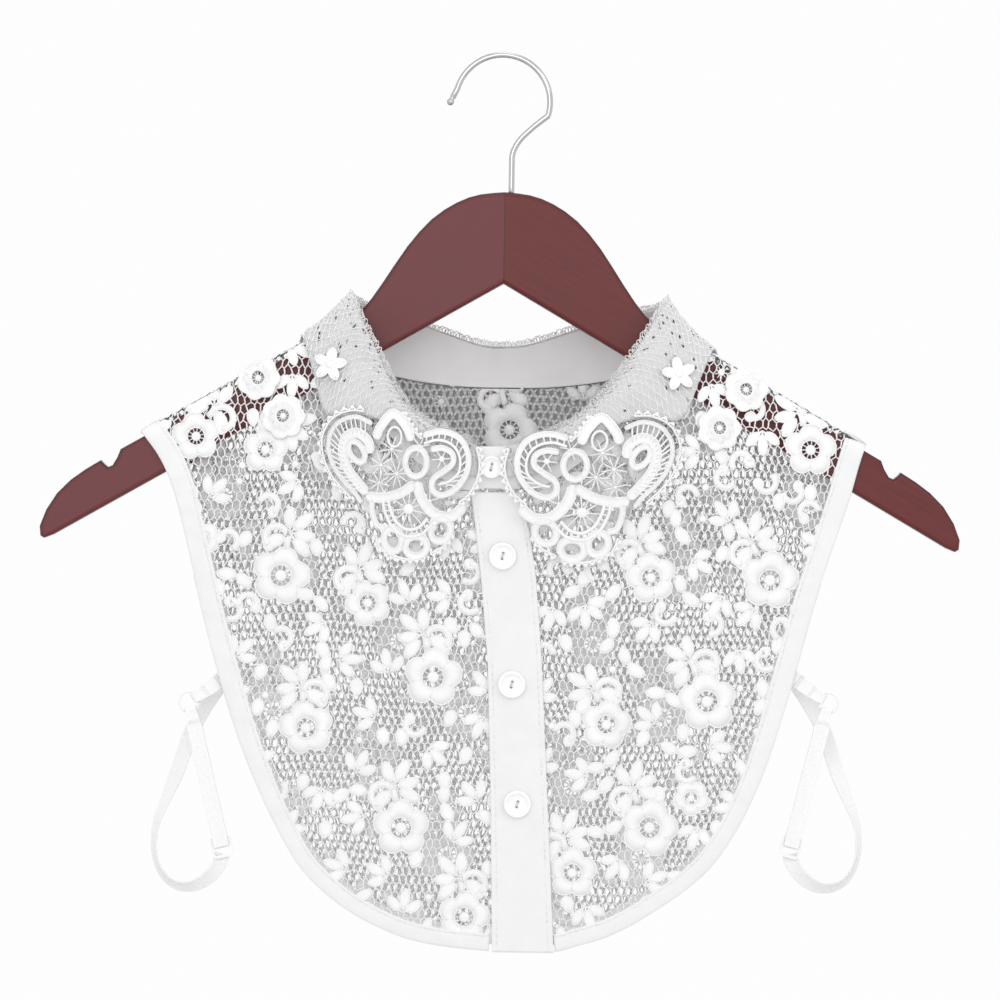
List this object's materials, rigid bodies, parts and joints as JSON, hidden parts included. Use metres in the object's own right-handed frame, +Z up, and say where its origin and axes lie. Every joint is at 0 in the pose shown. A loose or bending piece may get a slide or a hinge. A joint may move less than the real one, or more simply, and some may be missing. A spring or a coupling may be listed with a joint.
{
  "type": "lace dickey collar on wooden coat hanger",
  "caption": "Sleeveless open-sided dickey of white floral lace with a turn-down lace collar, buttoned placket and webbing side straps, hung on a wooden coat hanger with a wire hook.",
  "frame": {"origin": "where a clothes rail touches the inside of the hook's top", "axes": "+Z up; +X to the wearer's left, along the hanger; the garment's front faces -Y"},
  "size_m": [0.441, 0.0936, 0.4305],
  "materials": {
    "lace": "matt white cotton lace: net ground, woven petals, corded outlines",
    "cotton": "matt white plain-woven cotton, edge-stitched",
    "guipure": "white corded guipure lace with a soft thread sheen",
    "webbing": "white ribbed narrow webbing",
    "button": "pearly white shirt button",
    "hardware": "white moulded strap ring and slider",
    "wood": "satin red-brown stained and varnished wood",
    "chrome": "polished plated wire"
  },
  "bodies": {
    "root": {"hanger_wood": "wood", "hanger_hook": "chrome", "front_right": "lace", "front_left": "lace", "back_panel": "lace", "collar_fall": "lace", "binding_front_right": "cotton", "binding_front_left": "cotton", "binding_back": "cotton", "front_placket": "cotton", "collar_stand": "cotton", "collar_motif_right": "guipure", "collar_motif_left": "guipure", "applique_flower_1": "guipure", "applique_flower_2": "guipure", "applique_flower_3": "guipure", "applique_flower_4": "guipure", "applique_star_1": "guipure", "applique_star_2": "guipure", "button_1": "button", "button_2": "button", "button_3": "button", "button_4": "button", "tab_right": "webbing", "tab_left": "webbing", "strap_right": "webbing", "strap_left": "webbing", "loop_right": "webbing", "loop_left": "webbing", "ring_right": "hardware", "ring_left": "hardware", "slider_right": "hardware", "slider_left": "hardware"}
  },
  "joints": []
}
